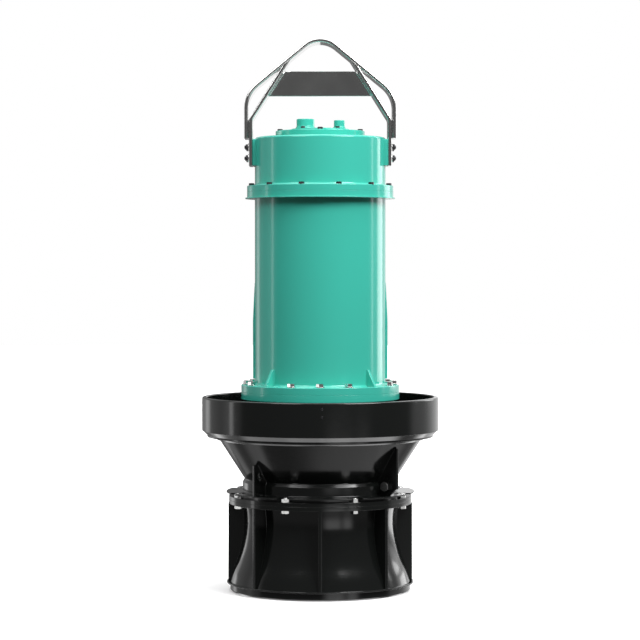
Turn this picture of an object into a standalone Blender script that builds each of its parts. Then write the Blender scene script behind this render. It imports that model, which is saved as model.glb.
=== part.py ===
"""Submersible axial flow pump with its lifting handle, standing on its suction bell.

Units are metres. +Z is up along the pump's shaft. The origin is the centre of the base ring's
underside. The lifting handle lies in the XZ plane, and the front of the pump faces -Y.
Azimuths are in degrees from the front, positive towards +X.
"""

import math

import bmesh
import bpy
from mathutils import Matrix, Vector

SEGMENTS = 48  # facets round each turned piece
GAP = 0.0003  # between two pieces that touch

# Suction bell: radius of its outer wall at each height
BELL_WALL = [
    (0.2965, 0.0308), (0.2870, 0.0660), (0.2710, 0.1100), (0.2580, 0.1650),
    (0.2520, 0.2140), (0.2525, 0.2500), (0.2570, 0.2872),
]
BELL_THICKNESS = 0.008
BASE_RING_RADIUS = 0.2970
BASE_RING_BORE = 0.2860
BASE_RING_HEIGHT = 0.0257
BASE_RING_CHAMFER = 0.005
LIP_RADIUS = 0.3080
LIP_THICKNESS = 0.0045
BELL_RIB_RADIUS = 0.3037
BELL_RIB_THICKNESS = 0.012
BELL_RIB_COUNT = 8

# Bolted joint between the bell and the diffuser
FLANGE_RADIUS = 0.3015
BELL_FLANGE_BOTTOM = 0.2875
FLANGE_JOINT = 0.3010
DIFFUSER_FLANGE_TOP = 0.3282
DIFFUSER_LIP_RADIUS = 0.3105
FLANGE_GROOVE_BOTTOM = 0.3145
FLANGE_GROOVE_RADIUS = 0.2850
BELL_FLANGE_BORE = 0.2480
DIFFUSER_FLANGE_BORE = 0.2400
BOLT_POCKET_INNER = 0.2665
BOLT_POCKET_WIDTH = 0.038
BOLT_POCKET_TOP = 0.3400
PUMP_BOLT_COUNT = 8

# Diffuser casing: an upright neck, a chamfered shoulder, a waist, then a cone that widens upwards
NECK_RADIUS = 0.2560
NECK_TOP = 0.3590
WAIST_RADIUS = 0.2500
WAIST_HEIGHT = 0.3695
CONE_TOP = 0.4990
CONE_TOP_RADIUS = 0.3335
CASING_THICKNESS = 0.010
COLLAR_RADIUS = 0.3460
OUTLET_BORE = 0.3225
OUTLET_FLANGE_RADIUS = 0.3730
OUTLET_FLANGE_BOTTOM = 0.5080

# Seating ring: a shelf with an upright wall round it
SEAT_BOTTOM = 0.5280
SEAT_TOP = 0.6386
SEAT_RADIUS = 0.3900
SEAT_WALL = 0.016
SEAT_SHELF_THICKNESS = 0.012
SEAT_REGISTER = 0.004  # how far the outlet flange stands in the ring's underside

# Gussets of the casing
GUSSET_AZIMUTHS = (135, 225, 315)
GUSSET_THICKNESS = 0.010
GUSSET_TOP = 0.4280
GUSSET_SNIPE_TOP = 0.4300
LUG_AZIMUTH = 49
LUG_RADIUS = 0.3300
LUG_TOP = 0.4810
LUG_TOE_RADIUS = 0.2965
LUG_CHAMFER_TOP = 0.3515
LUG_THICKNESS = 0.010

# Diffuser hub and its guide vanes
HUB_OUTLINE = [
    (0.1120, 0.3000), (0.1300, 0.3600), (0.1700, 0.4300), (0.2050, 0.5000),
    (0.2280, 0.5700), (0.2360, 0.6307),
]
VANE_COUNT = 7
VANE_BOTTOM = 0.3770
VANE_TOP = 0.5200
VANE_SWEEP = 38
VANE_THICKNESS = 0.008
VANE_STATIONS = 9
VANE_ROOT = 0.006  # how far a vane runs into the hub

# Impeller
IMPELLER_HUB_RADIUS = 0.1050
IMPELLER_HUB_TOP = 0.2960
IMPELLER_HUB_BOTTOM = 0.1700
IMPELLER_NOSE = 0.1080
SHAFT_RADIUS = 0.0350
BLADE_COUNT = 4
BLADE_HEIGHT = 0.2380
BLADE_ROOT_RADIUS = 0.0950
BLADE_TIP_RADIUS = 0.2400
BLADE_ROOT_PITCH = 48
BLADE_TIP_PITCH = 24
BLADE_ROOT_CHORD = 0.125
BLADE_TIP_CHORD = 0.190
BLADE_ROOT_THICKNESS = 0.014
BLADE_TIP_THICKNESS = 0.006
BLADE_STATIONS = 6
BLADE_CHORD_POINTS = 5

# Motor housing and its flanges
MOTOR_RADIUS = 0.2155
HUB_FLANGE_BOTTOM = 0.6310
HUB_FLANGE_TOP = 0.6550
MOTOR_FLANGE_TOP = 0.6790
MOTOR_FLANGE_RADIUS = 0.2610
MOTOR_TOP = 1.2900
UPPER_LIP_RADIUS = 0.2470
UPPER_FLANGE_BOTTOM = 1.2940
UPPER_FLANGE_JOINT = 1.3132
UPPER_FLANGE_TOP = 1.3330
UPPER_FLANGE_RADIUS = 0.2410
MOTOR_GUSSET_RADIUS = 0.2500
MOTOR_GUSSET_TOP = 0.7330
MOTOR_GUSSET_TOE = 0.006
MOTOR_GUSSET_THICKNESS = 0.010
SIDE_RIB_RADIUS = 0.2222
SIDE_RIB_BOTTOM = 0.6980
SIDE_RIB_SHOULDER = 0.8890
SIDE_RIB_TOP = 1.0150
SIDE_RIB_WIDTH = 0.030

# Motor head, its lid and the cable entries
HEAD_TOP = 1.4920
HEAD_EDGE = 0.006
LID_RADIUS = 0.1470
LID_TOP = 1.5130
LID_BOSS_RADIUS = 0.0960
LID_BOSS_TOP = 1.5200
POWER_ENTRY_X = -0.0485
POWER_ENTRY_RADIUS = 0.0290
POWER_ENTRY_FOOT = 0.0330
POWER_ENTRY_TOP = 1.5530
SIGNAL_ENTRY_X = 0.0630
SIGNAL_ENTRY_RADIUS = 0.0185
SIGNAL_ENTRY_FOOT = 0.0215
SIGNAL_ENTRY_TOP = 1.5490
ENTRY_FOOT_HEIGHT = 0.008
ENTRY_SEGMENTS = 24

# Lifting handle: an arch of flat bar over two inner legs and a cross plate
BAR_THICKNESS = 0.012
BAR_WIDTH = 0.120
ARCH_X = 0.2488
ARCH_FOOT = 1.4880
ARCH_SHOULDER = 1.6344
ARCH_SLOPE = 39.4
SHOULDER_RADIUS = 0.104
APEX_RADIUS = 0.086
SHIM_THICKNESS = 0.0028  # between the arch's foot and the leg
SHIM_TOP = 1.5480
SHIM_RECESS = 0.004
LEG_FOOT = 1.3975
LEG_BEND = 1.5502
LEG_SLOPE = 57.8
LEG_BEND_RADIUS = 0.034
CROSS_PLATE_BOTTOM = 1.6280
CROSS_PLATE_TOP = 1.7095
CROSS_PLATE_THICKNESS = 0.012
PAD_BOTTOM = 1.3975
PAD_TOP = 1.4850
BEND_STEPS = 6


def clear_scene():
    for old in list(bpy.data.objects):
        bpy.data.objects.remove(old, do_unlink=True)


def paint(name, colour, roughness, metallic=0.0):
    material = bpy.data.materials.new(name)
    material.use_nodes = True
    shader = material.node_tree.nodes["Principled BSDF"]
    shader.inputs["Base Color"].default_value = (*colour, 1.0)
    shader.inputs["Roughness"].default_value = roughness
    shader.inputs["Metallic"].default_value = metallic
    return material


def add_object(name, bm, material, azimuth=0.0):
    """Makes the object and turns it from the front, where it is modelled along +X, to its azimuth."""
    bmesh.ops.recalc_face_normals(bm, faces=bm.faces)
    mesh = bpy.data.meshes.new(name)
    bm.to_mesh(mesh)
    bm.free()
    mesh.shade_smooth()
    mesh.set_sharp_from_angle(angle=math.radians(30))
    mesh.materials.append(material)
    made = bpy.data.objects.new(name, mesh)
    made.rotation_euler.z = azimuth
    bpy.context.scene.collection.objects.link(made)
    return made


def heading(azimuth):
    """The turn about Z that takes +X to this azimuth, in radians."""
    return math.radians(azimuth - 90)


def as_guide(made):
    made.hide_render = True
    made.display_type = "WIRE"
    return made


def apply_boolean(target, guide, operation):
    modifier = target.modifiers.new(operation.lower(), "BOOLEAN")
    modifier.operation = operation
    modifier.solver = "EXACT"
    modifier.object = guide


def turned(name, profile, material, segments=SEGMENTS, centre=(0.0, 0.0)):
    """A turned piece. A profile that starts and ends on the axis is solid, any other is a ring."""
    bm = bmesh.new()
    points = [bm.verts.new((radius, 0, z)) for radius, z in profile]
    edges = [bm.edges.new(pair) for pair in zip(points, points[1:])]
    if profile[0][0] > 0:
        edges.append(bm.edges.new((points[-1], points[0])))
    bmesh.ops.spin(
        bm, geom=points + edges, cent=(0, 0, 0), axis=(0, 0, 1),
        angle=2 * math.pi, steps=segments, use_merge=True,
    )
    bmesh.ops.remove_doubles(bm, verts=bm.verts, dist=1e-6)
    bmesh.ops.translate(bm, verts=bm.verts, vec=(*centre, 0))
    return add_object(name, bm, material)


def disc(name, radius, bottom, top, material, **more):
    return turned(name, [(0, bottom), (radius, bottom), (radius, top), (0, top)], material, **more)


def ring(name, bore, radius, bottom, top, material):
    outline = [(bore, bottom), (radius, bottom), (radius, top), (bore, top)]
    return turned(name, outline, material)


def plate(name, outline, thickness, material, azimuth=0.0):
    """A flat plate: its outline is in the XZ plane, and it is centred on that plane."""
    bm = bmesh.new()
    face = bm.faces.new([bm.verts.new((x, -thickness / 2, z)) for x, z in outline])
    made = bmesh.ops.extrude_face_region(bm, geom=[face])["geom"]
    moved = [item for item in made if isinstance(item, bmesh.types.BMVert)]
    bmesh.ops.translate(bm, verts=moved, vec=(0, thickness, 0))
    return add_object(name, bm, material, azimuth)


def radius_at(wall, z):
    """Radius of a turned wall at height z, straight between its points."""
    for (r0, z0), (r1, z1) in zip(wall, wall[1:]):
        if z0 <= z <= z1:
            return r0 + (r1 - r0) * (z - z0) / (z1 - z0)
    return wall[0][0] if z < wall[0][1] else wall[-1][0]


def casing_outside():
    """Points of the casing's outer wall, from the flange up to the top of the cone."""
    return [
        (NECK_RADIUS, DIFFUSER_FLANGE_TOP + GAP), (NECK_RADIUS, NECK_TOP),
        (WAIST_RADIUS, WAIST_HEIGHT), (CONE_TOP_RADIUS, CONE_TOP),
    ]


def casing_inside():
    """Points of its bore, which is straight up to the waist. The cone's wall is equally thick."""
    slope = math.atan2(CONE_TOP_RADIUS - WAIST_RADIUS, CONE_TOP - WAIST_HEIGHT)
    knee = WAIST_HEIGHT + CASING_THICKNESS * math.tan(slope / 2)
    bore = WAIST_RADIUS - CASING_THICKNESS
    top_bore = CONE_TOP_RADIUS - CASING_THICKNESS / math.cos(slope)
    return [(bore, DIFFUSER_FLANGE_TOP + GAP), (bore, knee), (top_bore, CONE_TOP)]


def build_bell(black):
    base = [
        (BASE_RING_BORE, 0), (BASE_RING_RADIUS - BASE_RING_CHAMFER, 0), (BASE_RING_RADIUS, BASE_RING_CHAMFER),
        (BASE_RING_RADIUS, BASE_RING_HEIGHT), (BASE_RING_BORE, BASE_RING_HEIGHT),
    ]
    turned("base_ring", base, black)
    lip_bottom = BASE_RING_HEIGHT + GAP
    ring("bell_lip", BASE_RING_BORE, LIP_RADIUS, lip_bottom, lip_bottom + LIP_THICKNESS, black)
    inner = [(radius - BELL_THICKNESS, z) for radius, z in reversed(BELL_WALL)]
    turned("suction_bell", BELL_WALL + inner, black)
    rib_top = BELL_FLANGE_BOTTOM - GAP
    rib_bottom = BELL_WALL[0][1]
    rib = [(radius + GAP, z) for radius, z in BELL_WALL]
    rib += [(BELL_RIB_RADIUS, rib_top), (BELL_RIB_RADIUS, rib_bottom)]
    for k in range(BELL_RIB_COUNT):
        azimuth = k * 360 / BELL_RIB_COUNT
        plate(f"bell_rib_{k + 1}", rib, BELL_RIB_THICKNESS, black, heading(azimuth))
    ring("bell_flange", BELL_FLANGE_BORE, FLANGE_RADIUS, BELL_FLANGE_BOTTOM, FLANGE_JOINT - GAP, black)


def bolt_pockets(black):
    """The open pockets, one for each bolt head, that are cut into the lip of the upper flange."""
    bm = bmesh.new()
    past = 0.010
    length = DIFFUSER_LIP_RADIUS + past - BOLT_POCKET_INNER
    height = BOLT_POCKET_TOP - FLANGE_GROOVE_BOTTOM
    for k in range(PUMP_BOLT_COUNT):
        box = bmesh.ops.create_cube(bm, size=1)["verts"]
        bmesh.ops.scale(bm, verts=box, vec=(length, BOLT_POCKET_WIDTH, height))
        middle = (BOLT_POCKET_INNER + length / 2, 0, FLANGE_GROOVE_BOTTOM + height / 2)
        bmesh.ops.translate(bm, verts=box, vec=middle)
        turn = Matrix.Rotation(heading((k + 0.5) * 360 / PUMP_BOLT_COUNT), 3, "Z")
        bmesh.ops.rotate(bm, verts=box, cent=(0, 0, 0), matrix=turn)
    return as_guide(add_object("bolt_pocket_cutter", bm, black))


def build_diffuser_flange(black, pockets):
    """The lower flange of the casing: a thick disc, a groove, and a thin lip with the bolt pockets."""
    lip_bottom = DIFFUSER_FLANGE_TOP - LIP_THICKNESS
    outline = [
        (DIFFUSER_FLANGE_BORE, FLANGE_JOINT), (FLANGE_RADIUS, FLANGE_JOINT),
        (FLANGE_RADIUS, FLANGE_GROOVE_BOTTOM), (FLANGE_GROOVE_RADIUS, FLANGE_GROOVE_BOTTOM),
        (FLANGE_GROOVE_RADIUS, lip_bottom), (DIFFUSER_LIP_RADIUS, lip_bottom),
        (DIFFUSER_LIP_RADIUS, DIFFUSER_FLANGE_TOP), (DIFFUSER_FLANGE_BORE, DIFFUSER_FLANGE_TOP),
    ]
    flange = turned("diffuser_flange", outline, black)
    apply_boolean(flange, pockets, "DIFFERENCE")


def build_casing(black):
    turned("diffuser_casing", casing_outside() + casing_inside()[::-1], black)
    register = SEAT_BOTTOM + SEAT_REGISTER
    flange = [
        (OUTLET_BORE, CONE_TOP + GAP), (COLLAR_RADIUS, CONE_TOP + GAP), (COLLAR_RADIUS, OUTLET_FLANGE_BOTTOM),
        (OUTLET_FLANGE_RADIUS, OUTLET_FLANGE_BOTTOM), (OUTLET_FLANGE_RADIUS, register - GAP),
        (OUTLET_BORE, register - GAP),
    ]
    turned("outlet_flange", flange, black)
    shelf_top = SEAT_BOTTOM + SEAT_SHELF_THICKNESS
    seat = [
        (OUTLET_BORE, register), (OUTLET_FLANGE_RADIUS + GAP, register),
        (OUTLET_FLANGE_RADIUS + GAP, SEAT_BOTTOM), (SEAT_RADIUS, SEAT_BOTTOM), (SEAT_RADIUS, SEAT_TOP),
        (SEAT_RADIUS - SEAT_WALL, SEAT_TOP), (SEAT_RADIUS - SEAT_WALL, shelf_top), (OUTLET_BORE, shelf_top),
    ]
    turned("seating_ring", seat, black)


def build_casing_gussets(black):
    """Three gussets and one larger lug, which keeps the pump from turning in its column."""
    wall = casing_outside()
    foot = DIFFUSER_FLANGE_TOP + GAP
    back = [(radius + 2 * GAP, z) for radius, z in wall[:3]]
    gusset = back + [
        (radius_at(wall, GUSSET_SNIPE_TOP) + GAP, GUSSET_SNIPE_TOP),
        (BELL_RIB_RADIUS, GUSSET_TOP),
        (BELL_RIB_RADIUS, foot),
    ]
    for k, azimuth in enumerate(GUSSET_AZIMUTHS):
        plate(f"casing_gusset_{k + 1}", gusset, GUSSET_THICKNESS, black, heading(azimuth))
    lug = back + [
        (radius_at(wall, LUG_TOP) + GAP, LUG_TOP),
        (LUG_RADIUS, LUG_TOP),
        (LUG_RADIUS, LUG_CHAMFER_TOP),
        (LUG_TOE_RADIUS, foot),
    ]
    plate("torque_lug", lug, LUG_THICKNESS, black, heading(LUG_AZIMUTH))


def add_swept_loops(bm, loops):
    """Joins a row of equal closed loops of points into one closed skin."""
    rows = [[bm.verts.new(point) for point in loop] for loop in loops]
    count = len(rows[0])
    for low, high in zip(rows, rows[1:]):
        for k in range(count):
            following = (k + 1) % count
            bm.faces.new((low[k], low[following], high[following], high[k]))
    bm.faces.new(reversed(rows[0]))
    bm.faces.new(rows[-1])


def polar(radius, angle, z):
    return Vector((radius * math.cos(angle), radius * math.sin(angle), z))


def vane_loops(start):
    """The cross-sections of one guide vane: it leaves the impeller swept back, and ends upright."""
    facet = math.cos(math.pi / SEGMENTS)
    casing = casing_inside()
    loops = []
    for k in range(VANE_STATIONS):
        z = VANE_BOTTOM + (VANE_TOP - VANE_BOTTOM) * k / (VANE_STATIONS - 1)
        left = (VANE_TOP - z) / (VANE_TOP - VANE_BOTTOM)
        angle = start + math.radians(VANE_SWEEP) * left**2
        root = radius_at(HUB_OUTLINE, z) * facet - VANE_ROOT
        tip = min(radius_at(casing, z), OUTLET_BORE) * facet - GAP
        at_root = VANE_THICKNESS / 2 / root
        at_tip = VANE_THICKNESS / 2 / tip
        loops.append([
            polar(root, angle - at_root, z), polar(tip, angle - at_tip, z),
            polar(tip, angle + at_tip, z), polar(root, angle + at_root, z),
        ])
    return loops


def build_diffuser_hub(black):
    """The hub that carries the motor. Its guide vanes are cast on."""
    outline = [(0, HUB_OUTLINE[0][1])] + HUB_OUTLINE + [(0, HUB_OUTLINE[-1][1])]
    hub = turned("diffuser_hub", outline, black)
    bm = bmesh.new()
    for k in range(VANE_COUNT):
        add_swept_loops(bm, vane_loops(2 * math.pi * k / VANE_COUNT))
    vanes = as_guide(add_object("guide_vane_set", bm, black))
    apply_boolean(hub, vanes, "UNION")


def blade_loops(start):
    """Sections of one propeller blade, from the hub to the tip, each laid round its own cylinder."""
    loops = []
    for k in range(BLADE_STATIONS):
        share = k / (BLADE_STATIONS - 1)
        radius = BLADE_ROOT_RADIUS + (BLADE_TIP_RADIUS - BLADE_ROOT_RADIUS) * share
        pitch = math.radians(BLADE_ROOT_PITCH + (BLADE_TIP_PITCH - BLADE_ROOT_PITCH) * share)
        chord = BLADE_ROOT_CHORD + (BLADE_TIP_CHORD - BLADE_ROOT_CHORD) * share
        thickness = BLADE_ROOT_THICKNESS + (BLADE_TIP_THICKNESS - BLADE_ROOT_THICKNESS) * share
        sides = []
        for side in (-1, 1):
            row = []
            for j in range(BLADE_CHORD_POINTS):
                along = (j / (BLADE_CHORD_POINTS - 1) - 0.5) * chord
                fullness = 1 - 0.6 * (2 * along / chord) ** 2
                across = side * thickness / 2 * fullness
                round_way = along * math.cos(pitch) - across * math.sin(pitch)
                height = along * math.sin(pitch) + across * math.cos(pitch)
                row.append(polar(radius, start + round_way / radius, BLADE_HEIGHT + height))
            sides.append(row)
        loops.append(sides[0] + sides[1][::-1])
    return loops


def build_impeller(bronze):
    """Propeller with its nose cone. The shaft end on top meets the diffuser hub."""
    nose_steps = 4
    drop = IMPELLER_HUB_BOTTOM - IMPELLER_NOSE
    outline = []
    for k in range(nose_steps + 1):
        turn = math.pi / 2 * k / nose_steps
        radius = IMPELLER_HUB_RADIUS * math.sin(turn)
        outline.append((radius, IMPELLER_HUB_BOTTOM - drop * math.cos(turn)))
    shaft_top = HUB_OUTLINE[0][1] - GAP
    outline += [
        (IMPELLER_HUB_RADIUS, IMPELLER_HUB_TOP), (SHAFT_RADIUS, IMPELLER_HUB_TOP),
        (SHAFT_RADIUS, shaft_top), (0, shaft_top),
    ]
    hub = turned("impeller", outline, bronze)
    bm = bmesh.new()
    for k in range(BLADE_COUNT):
        add_swept_loops(bm, blade_loops(2 * math.pi * k / BLADE_COUNT))
    blades = as_guide(add_object("impeller_blade_set", bm, bronze))
    apply_boolean(hub, blades, "UNION")


def build_motor(green):
    disc("hub_flange", MOTOR_FLANGE_RADIUS, HUB_FLANGE_BOTTOM, HUB_FLANGE_TOP - GAP, green)
    disc("motor_lower_flange", MOTOR_FLANGE_RADIUS, HUB_FLANGE_TOP, MOTOR_FLANGE_TOP, green)
    disc("motor_housing", MOTOR_RADIUS, MOTOR_FLANGE_TOP + GAP, MOTOR_TOP - GAP, green)
    foot = MOTOR_FLANGE_TOP + GAP
    wall = MOTOR_RADIUS + GAP
    gusset = [
        (wall, foot), (wall, MOTOR_GUSSET_TOP), (wall + MOTOR_GUSSET_TOE, MOTOR_GUSSET_TOP),
        (MOTOR_GUSSET_RADIUS, foot + MOTOR_GUSSET_TOE), (MOTOR_GUSSET_RADIUS, foot),
    ]
    for k in range(4):
        azimuth = 45 + 90 * k
        plate(f"motor_gusset_{k + 1}", gusset, MOTOR_GUSSET_THICKNESS, green, heading(azimuth))
    rib = [
        (wall, SIDE_RIB_BOTTOM), (wall, SIDE_RIB_TOP), (wall + 0.001, SIDE_RIB_TOP),
        (SIDE_RIB_RADIUS, SIDE_RIB_SHOULDER), (SIDE_RIB_RADIUS, SIDE_RIB_BOTTOM),
    ]
    for side, azimuth in (("left", -90), ("right", 90)):
        plate(f"motor_side_rib_{side}", rib, SIDE_RIB_WIDTH, green, heading(azimuth))
    upper = [
        (0, MOTOR_TOP), (UPPER_LIP_RADIUS, MOTOR_TOP), (UPPER_LIP_RADIUS, UPPER_FLANGE_BOTTOM),
        (UPPER_FLANGE_RADIUS, UPPER_FLANGE_BOTTOM), (UPPER_FLANGE_RADIUS, UPPER_FLANGE_JOINT - GAP),
        (0, UPPER_FLANGE_JOINT - GAP),
    ]
    turned("motor_upper_flange", upper, green)


def entry(name, x, radius, foot_radius, top, material):
    """A round cable entry that stands on the lid, a little wider at its foot."""
    bottom = LID_BOSS_TOP + GAP
    outline = [
        (0, bottom), (foot_radius, bottom), (foot_radius, bottom + ENTRY_FOOT_HEIGHT / 2),
        (radius, bottom + ENTRY_FOOT_HEIGHT), (radius, top), (0, top),
    ]
    turned(name, outline, material, segments=ENTRY_SEGMENTS, centre=(x, 0))


def build_head(green):
    disc("head_flange", UPPER_FLANGE_RADIUS, UPPER_FLANGE_JOINT, UPPER_FLANGE_TOP, green)
    bottom = UPPER_FLANGE_TOP + GAP
    head = [
        (0, bottom), (MOTOR_RADIUS, bottom), (MOTOR_RADIUS, HEAD_TOP - HEAD_EDGE),
        (MOTOR_RADIUS - HEAD_EDGE, HEAD_TOP), (0, HEAD_TOP),
    ]
    turned("motor_head", head, green)
    lid = [
        (0, HEAD_TOP + GAP), (LID_RADIUS, HEAD_TOP + GAP), (LID_RADIUS, LID_TOP),
        (LID_BOSS_RADIUS, LID_TOP), (LID_BOSS_RADIUS, LID_BOSS_TOP), (0, LID_BOSS_TOP),
    ]
    turned("head_lid", lid, green)
    entry(
        "power_cable_entry", POWER_ENTRY_X, POWER_ENTRY_RADIUS, POWER_ENTRY_FOOT, POWER_ENTRY_TOP, green,
    )
    entry(
        "signal_cable_entry", SIGNAL_ENTRY_X, SIGNAL_ENTRY_RADIUS, SIGNAL_ENTRY_FOOT, SIGNAL_ENTRY_TOP, green,
    )


def bend(corner, before, after, radius, steps=BEND_STEPS):
    """Points of a round bend of this radius, between the directions before and after a corner."""
    turn = before.angle_signed(after)
    reach = radius * math.tan(abs(turn) / 2)
    start = corner - before * reach
    side = Vector((before.y, -before.x)) * math.copysign(1, turn)
    centre = start + side * radius
    points = []
    for k in range(steps + 1):
        angle = -turn * k / steps
        c, s = math.cos(angle), math.sin(angle)
        arm = start - centre
        points.append(centre + Vector((c * arm.x - s * arm.y, s * arm.x + c * arm.y)))
    return points


def bar_face(inset):
    """The right half of the arch's face in the XZ plane, from foot to apex. The inset moves it inwards."""
    slope = math.radians(ARCH_SLOPE)
    up = Vector((0, 1))
    along = Vector((-math.cos(slope), math.sin(slope)))
    down = Vector((-math.cos(slope), -math.sin(slope)))
    x = ARCH_X - inset
    shoulder_z = ARCH_SHOULDER - inset * math.tan(math.radians(45) - slope / 2)
    apex_z = ARCH_SHOULDER + ARCH_X * math.tan(slope) - inset / math.cos(slope)
    points = [Vector((x, ARCH_FOOT))]
    points += bend(Vector((x, shoulder_z)), up, along, SHOULDER_RADIUS - inset)
    points += bend(Vector((0, apex_z)), along, down, APEX_RADIUS - inset)[: BEND_STEPS // 2 + 1]
    return points


def arch_underside_height(x, clearance):
    """Height of the arch's lower face over its sloping stretch."""
    slope = math.radians(ARCH_SLOPE)
    crest = ARCH_SHOULDER + ARCH_X * math.tan(slope)
    return crest - x * math.tan(slope) - (BAR_THICKNESS + clearance) / math.cos(slope)


def leg_face(inset):
    """One face of an inner leg, from its foot up to where it meets the arch from below."""
    slope = math.radians(LEG_SLOPE)
    up = Vector((0, 1))
    along = Vector((-math.cos(slope), math.sin(slope)))
    x = ARCH_X - BAR_THICKNESS - SHIM_THICKNESS - 2 * GAP - inset
    bend_z = LEG_BEND - inset * math.tan(math.radians(45) - slope / 2)
    points = [Vector((x, LEG_FOOT))]
    points += bend(Vector((x, bend_z)), up, along, LEG_BEND_RADIUS - inset, steps=3)
    # The leg's sloping face and the arch's underside both fall away from the axis, and they meet here.
    arch = math.tan(math.radians(ARCH_SLOPE))
    rise = math.tan(slope)
    height_at_axis = arch_underside_height(0, GAP)
    top_x = (bend_z + x * rise - height_at_axis) / (rise - arch)
    points.append(Vector((top_x, height_at_axis - top_x * arch)))
    return points


def mirrored(points, side):
    return [(side * point.x, point.y) for point in points]


def build_handle(steel, green):
    outer = bar_face(0)
    inner = bar_face(BAR_THICKNESS)
    left_outer = [(-p.x, p.y) for p in outer[:-1]]
    left_inner = [(-p.x, p.y) for p in inner[:-1]]
    arch = mirrored(outer, 1) + left_outer[::-1] + left_inner + mirrored(inner, 1)[::-1]
    plate("handle_arch", arch, BAR_WIDTH, steel)
    leg_outer = leg_face(0)
    leg_inner = leg_face(BAR_THICKNESS)
    for side, sign in (("left", -1), ("right", 1)):
        outline = mirrored(leg_outer, sign) + mirrored(leg_inner, sign)[::-1]
        plate(f"handle_leg_{side}", outline, BAR_WIDTH, steel)
        shim_x = sign * (ARCH_X - BAR_THICKNESS - GAP)
        shim_back = shim_x - sign * SHIM_THICKNESS
        shim = [(shim_x, ARCH_FOOT), (shim_x, SHIM_TOP), (shim_back, SHIM_TOP), (shim_back, ARCH_FOOT)]
        plate(f"handle_shim_{side}", shim, BAR_WIDTH - 2 * SHIM_RECESS, steel)
        build_pad(f"handle_pad_{side}", sign, green)
    rise = math.tan(math.radians(LEG_SLOPE))
    foot = leg_inner[-1]
    clearance = GAP / math.sin(math.radians(LEG_SLOPE))
    half_bottom = foot.x + (foot.y - CROSS_PLATE_BOTTOM) / rise - clearance
    half_top = foot.x + (foot.y - CROSS_PLATE_TOP) / rise - clearance
    cross = [
        (-half_bottom, CROSS_PLATE_BOTTOM), (half_bottom, CROSS_PLATE_BOTTOM),
        (half_top, CROSS_PLATE_TOP), (-half_top, CROSS_PLATE_TOP),
    ]
    plate("handle_cross_plate", cross, CROSS_PLATE_THICKNESS, steel)


def build_pad(name, sign, green):
    """A flat boss on the round head, for the foot of the handle."""
    face_x = ARCH_X - 2 * BAR_THICKNESS - SHIM_THICKNESS - 3 * GAP
    back_radius = MOTOR_RADIUS + 2 * GAP
    facet = 2 * math.pi / SEGMENTS
    half = BAR_WIDTH / 2
    steps = math.ceil(math.asin(half / back_radius) / facet)
    bm = bmesh.new()
    outline = [(face_x, -half), (face_x, half)]
    limit = math.asin(half / back_radius)
    angles = [max(-limit, min(limit, k * facet)) for k in range(steps, -steps - 1, -1)]
    outline += [(back_radius * math.cos(a), back_radius * math.sin(a)) for a in angles]
    face = bm.faces.new([bm.verts.new((sign * x, y, PAD_BOTTOM)) for x, y in outline])
    made = bmesh.ops.extrude_face_region(bm, geom=[face])["geom"]
    moved = [item for item in made if isinstance(item, bmesh.types.BMVert)]
    bmesh.ops.translate(bm, verts=moved, vec=(0, 0, PAD_TOP - PAD_BOTTOM))
    add_object(name, bm, green)


def main():
    clear_scene()
    black = paint("black gloss paint", (0.010, 0.011, 0.0105), 0.28)
    green = paint("turquoise gloss paint", (0.035, 0.45, 0.34), 0.25)
    steel = paint("satin stainless steel", (0.45, 0.45, 0.44), 0.35, 1.0)
    bronze = paint("cast bronze", (0.35, 0.22, 0.10), 0.45, 0.9)
    build_bell(black)
    pockets = bolt_pockets(black)
    build_diffuser_flange(black, pockets)
    build_casing(black)
    build_casing_gussets(black)
    build_diffuser_hub(black)
    build_impeller(bronze)
    build_motor(green)
    build_head(green)
    build_handle(steel, green)


main()
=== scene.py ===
"""Submersible axial flow pump, standing on its suction bell on a pale studio floor.

Units are metres. +Z is up along the shaft, and the front of the pump faces -Y. Azimuths are in degrees
from the front, positive towards +X.
"""

import math

import bmesh
import bpy
from mathutils import Matrix, Vector


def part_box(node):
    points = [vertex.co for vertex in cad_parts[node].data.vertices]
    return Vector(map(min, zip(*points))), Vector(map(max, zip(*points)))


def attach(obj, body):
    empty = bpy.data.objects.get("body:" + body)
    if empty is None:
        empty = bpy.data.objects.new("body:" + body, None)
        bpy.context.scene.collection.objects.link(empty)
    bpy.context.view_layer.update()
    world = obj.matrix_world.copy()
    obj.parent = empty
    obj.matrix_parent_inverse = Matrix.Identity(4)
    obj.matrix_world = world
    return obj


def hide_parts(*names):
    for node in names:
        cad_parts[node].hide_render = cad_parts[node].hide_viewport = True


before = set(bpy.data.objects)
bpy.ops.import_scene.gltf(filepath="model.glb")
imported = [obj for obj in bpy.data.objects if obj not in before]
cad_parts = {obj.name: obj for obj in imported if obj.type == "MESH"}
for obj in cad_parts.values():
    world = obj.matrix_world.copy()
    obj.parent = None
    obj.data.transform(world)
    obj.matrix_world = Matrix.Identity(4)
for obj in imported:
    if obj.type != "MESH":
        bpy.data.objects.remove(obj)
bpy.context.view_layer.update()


# Camera. It stands 8 m in front with a long lens, a little above the middle of the pump, so the
# rings show as flat ellipses and upright edges stay upright.
camera_place = (-0.0008, -7.92, 1.074)
camera_tilt = 88.677
front_lens = bpy.data.cameras.new("front_view")
front_lens.lens = 135
front_lens.sensor_width = 36
front_lens.dof.use_dof = False
front_view = bpy.data.objects.new("front_view", front_lens)
front_view.location = camera_place
front_view.rotation_euler.x = math.radians(camera_tilt)
bpy.context.scene.collection.objects.link(front_view)
bpy.context.scene.camera = front_view


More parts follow.
